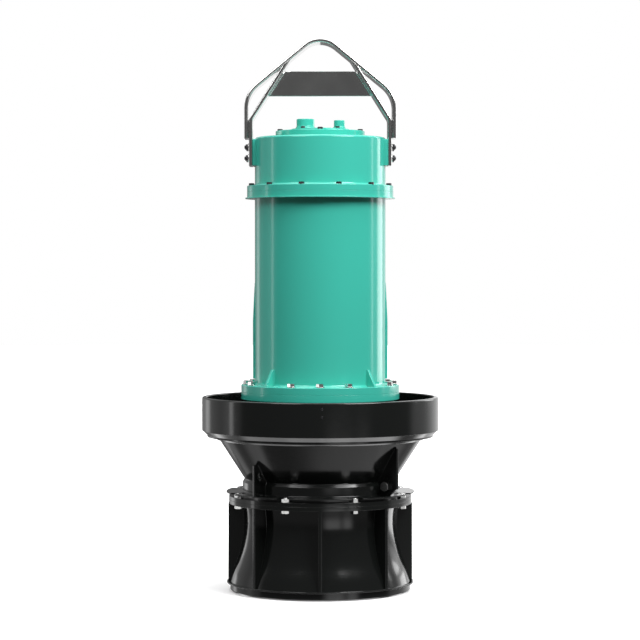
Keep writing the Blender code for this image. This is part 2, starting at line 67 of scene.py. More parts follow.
# Base ring and its lip. The bell stands on a plain turned ring of cast iron, chamfered at the floor.
# Black enamel is sprayed on the casting, so a fine orange peel and the skin of the iron show in it.
class Wire:
    """A shader socket. Arithmetic on it adds the Math nodes that work the sum out."""

    def __init__(self, tree, socket=None):
        self.tree = tree
        self.socket = socket

    def node(self, kind, sockets=None, settings=None, output=0):
        """Adds a node of any kind with its settings and sockets, and gives one of its outputs."""
        added = self.tree.nodes.new(kind)
        for name, value in (settings or {}).items():
            setattr(added, name, value)
        for name, value in (sockets or {}).items():
            if isinstance(value, Wire):
                self.tree.links.new(value.socket, added.inputs[name])
            else:
                added.inputs[name].default_value = value
        return Wire(self.tree, added.outputs[output])

    def math(self, operation, first, second=0.0):
        return self.node("ShaderNodeMath", {0: first, 1: second}, {"operation": operation})

    def noise(self, scale, detail=2.0):
        return self.node("ShaderNodeTexNoise", {"Vector": self, "Scale": scale, "Detail": detail})

    def blend(self, low, high):
        """From one colour to another as this value goes from 0 to 1."""
        sockets = {0: self, 6: (*low, 1), 7: (*high, 1)}
        return self.node("ShaderNodeMix", sockets, {"data_type": "RGBA"}, output=2)

    def feed(self, shader, socket):
        self.tree.links.new(self.socket, shader.inputs[socket])

    def __add__(self, other):
        return self.math("ADD", self, other)

    def __sub__(self, other):
        return self.math("SUBTRACT", self, other)

    def __rsub__(self, other):
        return self.math("SUBTRACT", other, self)

    def __mul__(self, other):
        return self.math("MULTIPLY", self, other)

    __radd__ = __add__
    __rmul__ = __mul__


def new_finish(name, metallic=0.0):
    """A material, its shader, and the wire of the place on the pump."""
    finish = bpy.data.materials.new(name)
    finish.use_nodes = True
    shader = finish.node_tree.nodes["Principled BSDF"]
    shader.inputs["Metallic"].default_value = metallic
    place = Wire(finish.node_tree).node("ShaderNodeTexCoord", output="Object")
    return finish, shader, place


def enamel(name, thin_coat, full_coat, gloss, skin_depth, peel_depth=1.4e-5):
    """Sprayed enamel on a casting. Depths are in metres."""
    finish, shader, place = new_finish(name)
    spray = place.noise(5.0, 3.0)
    skin = place.noise(46.0, 4.0)
    peel = place.noise(280.0)
    (spray * 0.7 + skin * 0.3).blend(thin_coat, full_coat).feed(shader, "Base Color")
    (gloss + spray * 0.10 + skin * 0.06 - 0.08).feed(shader, "Roughness")
    height = peel * peel_depth + skin * skin_depth
    place.node("ShaderNodeBump", {"Height": height}).feed(shader, "Normal")
    return finish


same_spot = 1e-6


def hang(name, bm, finish, slot, *nodes):
    """Closes a mesh, turns its faces out, and hangs it on the pump in place of these CAD nodes."""
    bmesh.ops.remove_doubles(bm, verts=bm.verts, dist=same_spot)
    bmesh.ops.recalc_face_normals(bm, faces=bm.faces)
    mesh = bpy.data.meshes.new(name)
    bm.to_mesh(mesh)
    bm.free()
    mesh.materials.append(finish)
    mesh.shade_smooth()
    mesh.set_sharp_from_angle(angle=math.radians(50))
    piece = bpy.data.objects.new(name, mesh)
    bpy.context.scene.collection.objects.link(piece)
    piece.modifiers.new("flat_faces_stay_flat", "WEIGHTED_NORMAL").keep_sharp = True
    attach(piece, "root")
    if nodes:
        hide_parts(*nodes)
    return piece


def turned(outline, sweep=360, steps=192):
    """An outline spun round the shaft. Each corner is its radius, its height and its rounding."""
    bm = bmesh.new()
    corners = [bm.verts.new((radius, 0, height)) for radius, height, _ in outline]
    for pair in zip(corners, corners[1:]):
        bm.edges.new(pair)
    if outline[0][0] > 0:
        bm.edges.new((corners[-1], corners[0]))
    for rounding in sorted({size for _, _, size in outline if size}):
        chosen = [corner for corner, (_, _, size) in zip(corners, outline) if size == rounding]
        bmesh.ops.bevel(
            bm, geom=chosen, offset=rounding, offset_type="OFFSET", affect="VERTICES",
            segments=3, profile=0.5, material=-1,
        )
    if sweep < 360:
        bmesh.ops.edgeloop_fill(bm, edges=bm.edges)
        spun = bm.faces[:]
    else:
        spun = bm.verts[:] + bm.edges[:]
    bmesh.ops.spin(
        bm, geom=spun, cent=(0, 0, 0), axis=(0, 0, 1), angle=math.radians(sweep),
        steps=steps, use_merge=sweep == 360,
    )
    return bm


black = enamel(
    "black_enamel", thin_coat=(0.0075, 0.0085, 0.0080), full_coat=(0.0050, 0.0058, 0.0054),
    gloss=0.13, skin_depth=4e-5,
)
base_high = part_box("base_ring")[1]
base_bore = 0.2860
floor_chamfer = 0.005
base_outline = [
    (base_bore, 0.0, 0.0010), (base_high.x - floor_chamfer, 0.0, 0.0010),
    (base_high.x, floor_chamfer, 0.0012), (base_high.x, base_high.z, 0.0006),
    (base_bore, base_high.z, 0.0006),
]
hang("standing_ring", turned(base_outline), black, "black_paint", "base_ring")
base_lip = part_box("bell_lip")[1]
base_lip_outline = [
    (base_bore, base_high.z, 0.0), (base_lip.x, base_high.z, 0.0014),
    (base_lip.x, base_lip.z, 0.0014), (base_bore, base_lip.z, 0.0),
]
hang("standing_lip", turned(base_lip_outline), black, "black_paint", "bell_lip")


# Suction bell. A cast iron funnel with an 8 mm wall, waisted under the flange, whose eight upright
# ribs are cast on with a fine fillet and stop flush with the flange.
bell_guide = [
    (0.2965, 0.0305), (0.2870, 0.0660), (0.2710, 0.1100), (0.2580, 0.1650),
    (0.2520, 0.2140), (0.2525, 0.2500), (0.2570, 0.2875),
]


def curved(guide, step):
    """A smooth wall through the guide's radii and heights, with a point at about every step of height."""
    leans = []
    for k in range(len(guide)):
        below, above = guide[max(k - 1, 0)], guide[min(k + 1, len(guide) - 1)]
        leans.append((above[0] - below[0]) / (above[1] - below[1]))
    wall = []
    spans = zip(guide, guide[1:], leans, leans[1:])
    for (low_radius, low), (high_radius, high), low_lean, high_lean in spans:
        rise = high - low
        count = round(rise / step)
        for k in range(count):
            t = k / count
            radius = low_radius * (1 + 2 * t) * (1 - t) ** 2 + high_radius * t * t * (3 - 2 * t)
            radius += rise * (low_lean * t * (1 - t) ** 2 - high_lean * t * t * (1 - t))
            wall.append((radius, low + rise * t))
    return wall + [guide[-1]]


def wall_radius(wall, z):
    """Radius of a turned wall at a height, straight between its corners."""
    for (low_radius, low), (high_radius, high) in zip(wall, wall[1:]):
        if z <= high:
            return low_radius + (high_radius - low_radius) * max(z - low, 0) / (high - low)
    return wall[-1][0]


def skinned(sections):
    """A closed skin over a row of sections, each a loop of as many points."""
    bm = bmesh.new()
    loops = []
    for section in sections:
        points = [bm.verts.new(point) for point in section]
        loops.append([bm.edges.new(pair) for pair in zip(points, points[1:] + points[:1])])
    for near, far in zip(loops, loops[1:]):
        bmesh.ops.bridge_loops(bm, edges=near + far)
    bmesh.ops.edgeloop_fill(bm, edges=loops[0])
    bmesh.ops.edgeloop_fill(bm, edges=loops[-1])
    return bm


def standing_rib(stations, half, fillet=0.0015, rounding=0.0018):
    """A rib along +X on a turned wall, as round as the wall across its width.

    Each station is its height, the wall's radius and the edge's radius.
    """
    root = 0.004
    sections = []
    for z, wall, edge in stations:
        most = 0.45 * (edge - wall)
        foot = min(fillet, most)
        nose = min(rounding, most)
        side = [(wall - root, half + foot)]
        for k in range(5):
            turn = math.pi / 8 * k
            side.append((wall + foot * (1 - math.cos(turn)), half + foot * (1 - math.sin(turn))))
        for k in range(4):
            turn = math.pi / 6 * k
            side.append((edge - nose + nose * math.sin(turn), half - nose + nose * math.cos(turn)))
        both = side + [(u, -v) for u, v in reversed(side)]
        sections.append([(u - v * v / (2 * wall), v, z) for u, v in both])
    return skinned(sections)


def put(whole, part, place=Matrix.Identity(4)):
    """Adds a part to a mesh at a place."""
    carried = bpy.data.meshes.new("carried")
    part.to_mesh(carried)
    carried.transform(place)
    whole.from_mesh(carried)
    bpy.data.meshes.remove(carried)


def facing(azimuth):
    """Turns a part that was made along +X to this azimuth."""
    return Matrix.Rotation(math.radians(azimuth - 90), 4, "Z")


bell_thickness = 0.008
bell_wall = curved(bell_guide, step=0.009)
bell_outline = [(radius, z, 0.0) for radius, z in bell_wall]
bell_outline += [(radius - bell_thickness, z, 0.0) for radius, z in reversed(bell_wall)]
hang("bell_casting", turned(bell_outline), black, "black_paint", "suction_bell")
rib_count = 8
half_rib = 0.006
rib_bite = 0.0005
rib_edge = -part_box("bell_rib_1")[0].y
rib_foot, rib_top = 0.0300, 0.2880
rib_steps = 16
rib_stations = []
for k in range(rib_steps + 1):
    z = rib_foot + (rib_top - rib_foot) * k / rib_steps
    rib_stations.append((z, wall_radius(bell_wall, z) - rib_bite, rib_edge))
for k in range(rib_count):
    rib = bmesh.new()
    put(rib, standing_rib(rib_stations, half_rib), facing(360 / rib_count * k))
    hang(f"bell_casting_rib_{k + 1}", rib, black, "black_paint", f"bell_rib_{k + 1}")


# Impeller. A four-bladed propeller of cast bronze with a rounded nose, which shows from below.
# The blades and the hub share one finish of cast bronze.
def cast_bronze():
    finish, shader, place = new_finish("cast_bronze", metallic=1.0)
    tarnish = place.noise(9.0, 5.0)
    grain = place.noise(420.0, 3.0)
    tarnish.blend((0.46, 0.31, 0.16), (0.62, 0.44, 0.24)).feed(shader, "Base Color")
    (0.30 + tarnish * 0.20).feed(shader, "Roughness")
    place.node("ShaderNodeBump", {"Height": grain * 2.5e-5}).feed(shader, "Normal")
    return finish


def blade_sections(start):
    """Sections of one blade from hub to tip, each laid round its own cylinder."""
    stations = 14
    along_points = 11
    mid_height = 0.238
    sections = []
    for k in range(stations):
        share = k / (stations - 1)
        radius = 0.095 + 0.145 * share
        pitch = math.radians(48 - 24 * share)
        chord = 0.125 + 0.065 * share - 0.030 * max(share - 0.9, 0) / 0.1
        thick = 0.014 - 0.008 * share
        loop = []
        for side in (-1, 1):
            row = []
            for j in range(along_points):
                swing = math.pi * j / (along_points - 1)
                along = -math.cos(swing) * chord / 2
                across = side * thick / 2 * math.sin(swing) ** 0.7
                round_way = along * math.cos(pitch) - across * math.sin(pitch)
                rise = along * math.sin(pitch) + across * math.cos(pitch)
                angle = start + round_way / radius
                row.append((radius * math.cos(angle), radius * math.sin(angle), mid_height + rise))
            loop += row[:-1] if side < 0 else row[:0:-1]
        sections.append(loop)
    return sections


bronze = cast_bronze()
blade_count = 4
nose_root, nose_drop = 0.170, 0.062
nose_steps = 12
propeller_side, propeller_top = 0.105, 0.296
spigot_side, spigot_top = 0.035, 0.300
propeller_outline = [(0.0, nose_root - nose_drop, 0.0)]
for k in range(1, nose_steps + 1):
    turn = math.pi / 2 * k / nose_steps
    on_nose = (propeller_side * math.sin(turn), nose_root - nose_drop * math.cos(turn), 0.0)
    propeller_outline.append(on_nose)
propeller_outline += [
    (propeller_side, propeller_top, 0.002), (spigot_side, propeller_top, 0.0),
    (spigot_side, spigot_top, 0.0), (0.0, spigot_top, 0.0),
]
propeller = turned(propeller_outline)
for k in range(blade_count):
    put(propeller, skinned(blade_sections(2 * math.pi * k / blade_count)))
hang("propeller", propeller, bronze, "impeller_bronze", "impeller")


# Joint of bell and diffuser. Two machined flanges meet with a fine seam. Eight stainless M16 bolts
# come up from below, and their nuts sit in open pockets of the upper flange's thin lip.
def stainless():
    finish, shader, place = new_finish("stainless_steel", metallic=1.0)
    smear = place.noise(60.0, 3.0)
    scratch = place.noise(1400.0, 2.0)
    smear.blend((0.72, 0.72, 0.71), (0.88, 0.88, 0.87)).feed(shader, "Base Color")
    (0.05 + smear * 0.07).feed(shader, "Roughness")
    place.node("ShaderNodeBump", {"Height": scratch * 5e-6}).feed(shader, "Normal")
    return finish


def lifted(bm, face, height):
    """Extrudes a face upwards, and gives its new face."""
    made = bmesh.ops.extrude_face_region(bm, geom=[face])["geom"]
    risen = [item for item in made if isinstance(item, bmesh.types.BMVert)]
    bmesh.ops.translate(bm, verts=risen, vec=(0, 0, height))
    return next(item for item in made if isinstance(item, bmesh.types.BMFace))


def hexagon(across, height):
    """A hexagon head or nut on the XY plane, whose corners are turned off to a cone on top."""
    bm = bmesh.new()
    flat = across / 2
    crown = 0.93 * flat
    sixth = math.pi / 3
    bmesh.ops.create_circle(bm, cap_ends=True, radius=flat, segments=24)
    bm.faces.ensure_lookup_table()
    for corner in bm.verts:
        off_flat = (math.atan2(corner.co.y, corner.co.x) + sixth / 2) % sixth - sixth / 2
        corner.co.xy /= math.cos(off_flat)
    side = lifted(bm, bm.faces[0], height)
    for corner in side.verts:
        corner.co.z = height - (corner.co.xy.length - crown) * math.tan(math.radians(30))
    top = lifted(bm, side, 0)
    for corner in top.verts:
        corner.co = (*(corner.co.xy.normalized() * crown), height)
    return bm


def washer(bore, across, thickness):
    outline = [
        (bore, 0.0, 0.0), (across / 2, 0.0, 0.0004),
        (across / 2, thickness, 0.0006), (bore, thickness, 0.0),
    ]
    return turned(outline, steps=40)


def stud_end(radius, length, pitch=0.0022):
    """The threaded end that stands out of a nut, with a chamfered tip."""
    tip_height = 0.0015
    root = radius * 0.88
    outline = [(0.0, 0.0, 0.0), (root, 0.0, 0.0)]
    ridges = int((length - tip_height) / pitch)
    for k in range(ridges):
        outline.append((radius, pitch * (k + 0.5), 0.0))
        outline.append((root, pitch * (k + 1), 0.0))
    outline += [(radius * 0.80, length, 0.0), (0.0, length, 0.0)]
    return turned(outline, steps=32)


def bolt_head(size, across, head, plate=0.003):
    """A hexagon head on its washer, which a plate thickness of 0 leaves out."""
    bm = bmesh.new()
    if plate:
        put(bm, washer(size * 0.4, size * 1.8, plate))
    put(bm, hexagon(across, head), Matrix.Translation((0, 0, plate)))
    return bm


def nut_on_stud(size, across, height, past):
    """A nut with the threaded end of the bolt standing out of it."""
    bm = bmesh.new()
    put(bm, hexagon(across, height))
    put(bm, stud_end(size / 2, past), Matrix.Translation((0, 0, height - 0.0005)))
    return bm


def bolt_circle(bm, part, radius, height, azimuths, upside_down=False):
    """Puts the same fastener at each azimuth, all tightened to about the same heading."""
    heading, spread = 14, 2
    flip = Matrix.Rotation(math.pi, 4, "X") if upside_down else Matrix.Identity(4)
    for k, azimuth in enumerate(azimuths):
        tightened = math.radians(heading - azimuth + spread * math.sin(9 * k))
        own_turn = Matrix.Rotation(tightened, 4, "Z")
        spot = Matrix.Translation((radius, 0, height))
        put(bm, part, facing(azimuth) @ spot @ own_turn @ flip)


bright = stainless()
m16, m16_across, m16_head, m16_nut = 0.016, 0.024, 0.010, 0.013
flange_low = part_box("bell_flange")[0]
flange_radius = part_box("bell_flange")[1].x
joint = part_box("diffuser_flange")[0].z
lip_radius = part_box("diffuser_flange")[1].x
flange_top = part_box("diffuser_flange")[1].z
lower_bore, upper_bore = 0.248, 0.240
pocket_floor, pocket_radius = 0.3145, 0.2665
neck_seat = 0.3281
lower_flange = [
    (lower_bore, flange_low.z, 0.0), (flange_radius, flange_low.z, 0.0016),
    (flange_radius, joint, 0.0007), (lower_bore, joint, 0.0),
]
hang("bell_flange_turned", turned(lower_flange), black, "black_paint", "bell_flange")
upper_flange = turned([
    (upper_bore, joint, 0.0), (flange_radius, joint, 0.0007), (flange_radius, pocket_floor, 0.0012),
    (pocket_radius, pocket_floor, 0.0), (pocket_radius, neck_seat, 0.0), (upper_bore, neck_seat, 0.0),
])
land_bore, land_radius = 0.2660, 0.2850
land_foot, lip_underside = 0.3140, 0.3237
lip_between_bolts = [
    (land_bore, land_foot, 0.0), (land_radius, land_foot, 0.0), (land_radius, lip_underside, 0.0008),
    (lip_radius, lip_underside, 0.0012), (lip_radius, flange_top, 0.0012), (land_bore, flange_top, 0.0),
]
pump_bolt_count = 8
bolt_pitch = 360 / pump_bolt_count
pocket_half_angle = 3.85
for k in range(pump_bolt_count):
    land = turned(lip_between_bolts, sweep=bolt_pitch - 2 * pocket_half_angle, steps=30)
    put(upper_flange, land, facing(bolt_pitch * (k - 0.5) + pocket_half_angle))
hang("diffuser_flange_casting", upper_flange, black, "black_paint", "diffuser_flange")
pump_bolt_ring = 0.288
pump_azimuths = [bolt_pitch * (k + 0.5) for k in range(pump_bolt_count)]
pump_bolts = bmesh.new()
bolt_circle(
    pump_bolts, nut_on_stud(m16, m16_across, m16_nut, past=0.002), pump_bolt_ring, pocket_floor,
    pump_azimuths,
)
bolt_circle(
    pump_bolts, bolt_head(m16, m16_across, m16_head, plate=0.0), pump_bolt_ring, flange_low.z,
    pump_azimuths, upside_down=True,
)
hang("pump_flange_bolts", pump_bolts, bright, "grey_steel")


# Diffuser casing. One iron casting: an upright neck with a chamfered shoulder, and over its waist a
# cone that carries the outlet flange. Three small gussets and a large lug with an M20 bolt stand on it.
neck_radius, waist_radius, cone_radius = 0.2560, 0.2500, 0.3335
neck_foot, shoulder, waist, cone_top = 0.3278, 0.3590, 0.3695, 0.4990
casing_wall = [
    (neck_radius, neck_foot), (neck_radius, shoulder), (waist_radius, waist), (cone_radius, cone_top),
]
bore_radius, bore_waist, bore_top_radius = 0.2400, 0.3724, 0.3216
spread_foot, casing_foot, spread_top = 0.2605, 0.3275, 0.3283
casing_outline = [
    (spread_foot, casing_foot, 0.0), (spread_foot, spread_top, 0.0), (neck_radius, spread_top, 0.0035),
    (neck_radius, shoulder, 0.0008), (waist_radius, waist, 0.0020), (cone_radius, cone_top, 0.0),
    (bore_top_radius, cone_top, 0.0), (bore_radius, bore_waist, 0.0100), (bore_radius, casing_foot, 0.0),
]
hang("diffuser_casting", turned(casing_outline), black, "black_paint", "diffuser_casing")
outlet_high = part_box("outlet_flange")[1]
seat_low, seat_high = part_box("seating_ring")
outlet_bore = 0.3225
collar_radius, collar_chamfer = 0.3460, 0.0055
collar_foot, outlet_foot, band_foot = 0.4985, 0.5080, 0.5135
band_width = 0.0140
outlet_outline = [
    (outlet_bore, collar_foot, 0.0), (collar_radius - collar_chamfer, collar_foot, 0.0008),
    (collar_radius, collar_foot + collar_chamfer, 0.0008), (collar_radius, outlet_foot, 0.0010),
    (outlet_high.x, outlet_foot, 0.0010), (outlet_high.x, band_foot, 0.0008),
    (outlet_high.x + band_width, seat_low.z - 0.0005, 0.0), (outlet_high.x, seat_low.z + 0.004, 0.0),
    (outlet_bore, seat_low.z + 0.004, 0.0),
]
hang("outlet_flange_turned", turned(outlet_outline), black, "black_paint", "outlet_flange")
casing_bite = 0.0003
gusset_edge = 0.3037
gusset_stations = [
    (z, wall_radius(casing_wall, z) - casing_bite, gusset_edge)
    for z in (0.3280, shoulder, waist, 0.3900, 0.4100, 0.4270)
]
gusset_stations.append((0.4300, 0.2886, 0.2905))
half_lug = 0.005
for k in range(3):
    gusset = bmesh.new()
    put(gusset, standing_rib(gusset_stations, half_lug, fillet=0.0025), facing(135 + 90 * k))
    hang(f"casing_rib_{k + 1}", gusset, black, "black_paint", f"casing_gusset_{k + 1}")
lug_azimuth = 49
lug_edge = 0.3300
lug_outer = [
    (0.3280, 0.2960), (0.3400, 0.3132), (0.3510, 0.3292), (0.3525, lug_edge), (shoulder, lug_edge),
    (waist, lug_edge), (0.4000, lug_edge), (0.4400, lug_edge), (0.4800, lug_edge),
    (0.4810, lug_edge - 0.0010),
]
lug_stations = [(z, wall_radius(casing_wall, z) - casing_bite, edge) for z, edge in lug_outer]
lug = bmesh.new()
put(lug, standing_rib(lug_stations, half_lug, fillet=0.0010), facing(lug_azimuth))
hang("turning_stop", lug, black, "black_paint", "torque_lug")
m20, m20_across, m20_head, m20_nut = 0.020, 0.030, 0.0125, 0.016
lug_hole_radius, lug_hole_height = 0.287, 0.358
lug_head, lug_nut = hexagon(m20_across, m20_head), nut_on_stud(m20, m20_across, m20_nut, past=0.004)
lug_bolt = bmesh.new()
for fastener, side in ((lug_head, -1), (lug_nut, 1)):
    seat = Matrix.Translation((lug_hole_radius, side * half_lug, lug_hole_height))
    put(lug_bolt, fastener, facing(lug_azimuth) @ seat @ Matrix.Rotation(-side * math.pi / 2, 4, "X"))
hang("turning_stop_bolt", lug_bolt, bright, "grey_steel")


# Guide vanes. The iron hub under the motor carries seven vanes that take the swirl out of the water;
# they start swept back just over the impeller and end upright below the outlet.
hub_wall = [
    (0.1120, 0.3000), (0.1300, 0.3600), (0.1700, 0.4300), (0.2050, 0.5000),
    (0.2280, 0.5700), (0.2360, 0.6310),
]


def vane_sections(start):
    """Level sections of one vane, thinner at its two ends."""
    bore = [
        (bore_radius, casing_foot), (bore_radius, bore_waist), (bore_top_radius, cone_top),
        (0.3220, 0.5400),
    ]
    low, high = 0.3770, 0.5200
    steps = 24
    swept_back = math.radians(38)
    sections = []
    for k in range(steps + 1):
        z = low + (high - low) * k / steps
        left = (high - z) / (high - low)
        angle = start + swept_back * left**2
        half = 0.004 * (1 - 0.6 * abs(2 * k / steps - 1) ** 12)
        root = wall_radius(hub_wall, z) - 0.006
        tip = wall_radius(bore, z) - 0.0002
        loop = []
        for radius, side in ((root, -1), (tip, -1), (tip, 1), (root, 1)):
            at = angle + side * half / radius
            loop.append((radius * math.cos(at), radius * math.sin(at), z))
        sections.append(loop)
    return sections


vane_count = 7
hub_outline = [(0.0, hub_wall[0][1], 0.0), (*hub_wall[0], 0.003)]
hub_outline += [(radius, z, 0.028) for radius, z in hub_wall[1:-1]]
hub_outline += [(*hub_wall[-1], 0.0), (0.0, hub_wall[-1][1], 0.0)]
hub = turned(hub_outline)
for k in range(vane_count):
    put(hub, skinned(vane_sections(2 * math.pi * k / vane_count)))
hang("vane_hub_casting", hub, black, "black_paint", "diffuser_hub")


# Seating ring. A steel shelf with a tall upright wall, turned all over, that rests on the seat in the
# column. Four pairs of small set screws sit in its wall.
shelf_underside, shelf_top = 0.5280, 0.5400
relief_radius, relief = 0.3733, 0.5320
ring_inside = 0.3740
seat_outline = [
    (outlet_bore, relief, 0.0), (relief_radius, relief, 0.0), (relief_radius, shelf_underside, 0.0),
    (seat_high.x, shelf_underside, 0.0012), (seat_high.x, seat_high.z, 0.0048),
    (ring_inside, seat_high.z, 0.0030), (ring_inside, shelf_top, 0.0060), (outlet_bore, shelf_top, 0.0014),
]
hang("seating_ring_turned", turned(seat_outline, steps=256), black, "black_paint", "seating_ring")


def dark_metal():
    finish, shader, place = new_finish("blackened_steel", metallic=1.0)
    smear = place.noise(70.0, 3.0)
    smear.blend((0.030, 0.030, 0.032), (0.075, 0.075, 0.078)).feed(shader, "Base Color")
    (0.30 + smear * 0.16).feed(shader, "Roughness")
    place.node("ShaderNodeBump", {"Height": place.noise(900.0) * 1.2e-5}).feed(shader, "Normal")
    return finish


def socket_screw(radius, height):
    """A set screw with a hexagon socket in its face."""
    disc = [(0.0, 0.0, 0.0), (radius, 0.0, 0.0), (radius, height, 0.0004), (0.0, height, 0.0)]
    bm = turned(disc, steps=24)
    bmesh.ops.remove_doubles(bm, verts=bm.verts, dist=same_spot)
    bmesh.ops.dissolve_limit(bm, angle_limit=0.01, verts=bm.verts, edges=bm.edges)
    face = max(bm.faces, key=lambda one: one.calc_center_median().z)
    bmesh.ops.inset_region(bm, faces=[face], thickness=radius * 0.45)
    face = max(bm.faces, key=lambda one: (one.calc_center_median().z, -one.calc_area()))
    lifted(bm, face, -height * 0.7)
    return bm


dark = dark_metal()
screw_radius, screw_height, screw_depth = 0.0045, 0.0016, 0.0012
set_screws = bmesh.new()
for azimuth in (0.8, 90.8, 180.8, 270.8):
    for z in (0.594, 0.619):
        spot = Matrix.Translation((seat_high.x - screw_depth, 0, z)) @ Matrix.Rotation(math.pi / 2, 4, "Y")
        put(set_screws, socket_screw(screw_radius, screw_height), facing(azimuth) @ spot)
hang("seating_ring_screws", set_screws, dark, "grey_steel")


# Motor foot. The hub's flange and the motor's are bolted together by twelve stainless M16 bolts.
# The motor is iron and steel, sprayed with a gloss turquoise enamel together with its flanges.
turquoise = enamel(
    "turquoise_enamel", thin_coat=(0.051, 0.44, 0.345), full_coat=(0.045, 0.47, 0.372),
    gloss=0.14, skin_depth=2.5e-5,
)
foot_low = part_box("hub_flange")[0]
foot_joint, foot_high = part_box("motor_lower_flange")
foot_radius = foot_high.x
hub_flange_outline = [
    (0.0, foot_low.z, 0.0), (foot_radius, foot_low.z, 0.0020), (foot_radius, foot_joint.z, 0.0008),
    (0.0, foot_joint.z, 0.0),
]
hang("hub_flange_turned", turned(hub_flange_outline), turquoise, "turquoise_paint", "hub_flange")
motor_foot_outline = [
    (0.0, foot_joint.z, 0.0), (foot_radius, foot_joint.z, 0.0008), (foot_radius, foot_high.z, 0.0022),
    (0.0, foot_high.z, 0.0),
]
hang("motor_foot_turned", turned(motor_foot_outline), turquoise, "turquoise_paint", "motor_lower_flange")
motor_bolt_ring = 0.2410
motor_azimuths = [22.5 * k for k in range(16) if k % 4 != 2]
motor_bolts = bmesh.new()
bolt_circle(motor_bolts, bolt_head(m16, m16_across, m16_head), motor_bolt_ring, foot_high.z, motor_azimuths)
hang("motor_flange_bolts", motor_bolts, bright, "grey_steel")


# Motor housing. A plain thick-walled cylinder with four small gussets at its foot, where the bolt
# circle leaves a gap, and a long low rib on each side, which keeps the column off the enamel.
barrel_radius, barrel_top = 0.2155, 1.2900
foot_fillet = 0.005
barrel_outline = [
    (0.0, foot_high.z, 0.0), (barrel_radius + foot_fillet, foot_high.z, 0.0),
    (barrel_radius, foot_high.z + foot_fillet, 0.0035), (barrel_radius, barrel_top, 0.0),
    (0.0, barrel_top, 0.0),
]
hang("motor_barrel", turned(barrel_outline), turquoise, "turquoise_paint", "motor_housing")
toe_radius, toe_top = 0.250, foot_high.z + 0.006
gusset_top, gusset_top_radius = 0.733, barrel_radius + 0.006
foot_stations = [(foot_high.z - rib_bite, barrel_radius, toe_radius), (toe_top, barrel_radius, toe_radius)]
for k in range(1, 6):
    share = k / 5
    z = toe_top + (gusset_top - toe_top) * share
    foot_stations.append((z, barrel_radius, toe_radius + (gusset_top_radius - toe_radius) * share))
for k in range(4):
    gusset = bmesh.new()
    put(gusset, standing_rib(foot_stations, 0.005, fillet=0.003), facing(45 + 90 * k))
    hang(f"motor_foot_gusset_{k + 1}", gusset, turquoise, "turquoise_paint", f"motor_gusset_{k + 1}")
side_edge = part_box("motor_side_rib_right")[1].x
half_side_rib = 0.013
side_profile = [
    (0.6980, side_edge - 0.0020), (0.6995, side_edge), (0.7600, side_edge), (0.8300, side_edge),
    (0.8890, side_edge), (0.9500, side_edge - 0.0028), (1.0150, barrel_radius + 0.0006),
]
side_stations = [(z, barrel_radius, edge) for z, edge in side_profile]
for side, azimuth in (("left", -90), ("right", 90)):
    rib = bmesh.new()
    put(rib, standing_rib(side_stations, half_side_rib, fillet=0.0025, rounding=0.003), facing(azimuth))
    hang(f"motor_long_rib_{side}", rib, turquoise, "turquoise_paint", f"motor_side_rib_{side}")


# Joint of motor and head. Two equal flanges with a fine seam, a thin drip lip under them, and
# twelve small blackened M10 bolts close to the rim.
top_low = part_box("motor_upper_flange")[0]
drip_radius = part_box("motor_upper_flange")[1].x
seam, top_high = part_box("head_flange")
rim = top_high.x
drip_top = 1.2940
under_outline = [
    (0.0, top_low.z, 0.0), (drip_radius, top_low.z, 0.0010), (drip_radius, drip_top, 0.0010),
    (rim, drip_top, 0.0), (rim, seam.z, 0.0006), (0.0, seam.z, 0.0),
]
hang("motor_top_flange", turned(under_outline), turquoise, "turquoise_paint", "motor_upper_flange")
over_outline = [
    (0.0, seam.z, 0.0), (rim, seam.z, 0.0006), (rim, top_high.z, 0.0020), (0.0, top_high.z, 0.0),
]
hang("head_foot_flange", turned(over_outline), turquoise, "turquoise_paint", "head_flange")
thin_washer = 0.0012
m10, m10_across, m10_head = 0.010, 0.016, 0.0060
head_bolt_ring = 0.2325
head_azimuths = [15 + 30 * k for k in range(12)]
head_bolts = bmesh.new()
small_bolt = bolt_head(m10, m10_across, m10_head, thin_washer)
bolt_circle(head_bolts, small_bolt, head_bolt_ring, top_high.z, head_azimuths)
hang("head_flange_bolts", head_bolts, dark, "grey_steel")


# Motor head and lid. A cast pot with a rounded top edge. Its lid has a raised middle with a cable
# entry for the power cable and a smaller one for the signal cable, and blackened screws.
head_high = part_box("motor_head")[1]
head_fillet = 0.004
head_outline = [
    (0.0, top_high.z, 0.0), (barrel_radius + head_fillet, top_high.z, 0.0),
    (barrel_radius, top_high.z + head_fillet, 0.003), (barrel_radius, head_high.z, 0.0075),
    (0.0, head_high.z, 0.0),
]
hang("motor_head_casting", turned(head_outline), turquoise, "turquoise_paint", "motor_head")
lid_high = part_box("head_lid")[1]
boss_radius = 0.096
ledge = 1.513
lid_outline = [
    (0.0, head_high.z, 0.0), (lid_high.x, head_high.z, 0.0), (lid_high.x, ledge, 0.0025),
    (boss_radius, ledge, 0.0030), (boss_radius, lid_high.z, 0.0022), (0.0, lid_high.z, 0.0),
]
hang("head_lid_casting", turned(lid_outline), turquoise, "turquoise_paint", "head_lid")


def rubber():
    finish, shader, place = new_finish("seal_rubber")
    bloom = place.noise(35.0, 4.0)
    bloom.blend((0.018, 0.018, 0.019), (0.034, 0.034, 0.034)).feed(shader, "Base Color")
    (0.62 + bloom * 0.2).feed(shader, "Roughness")
    place.node("ShaderNodeBump", {"Height": place.noise(700.0) * 2e-5}).feed(shader, "Normal")
    return finish


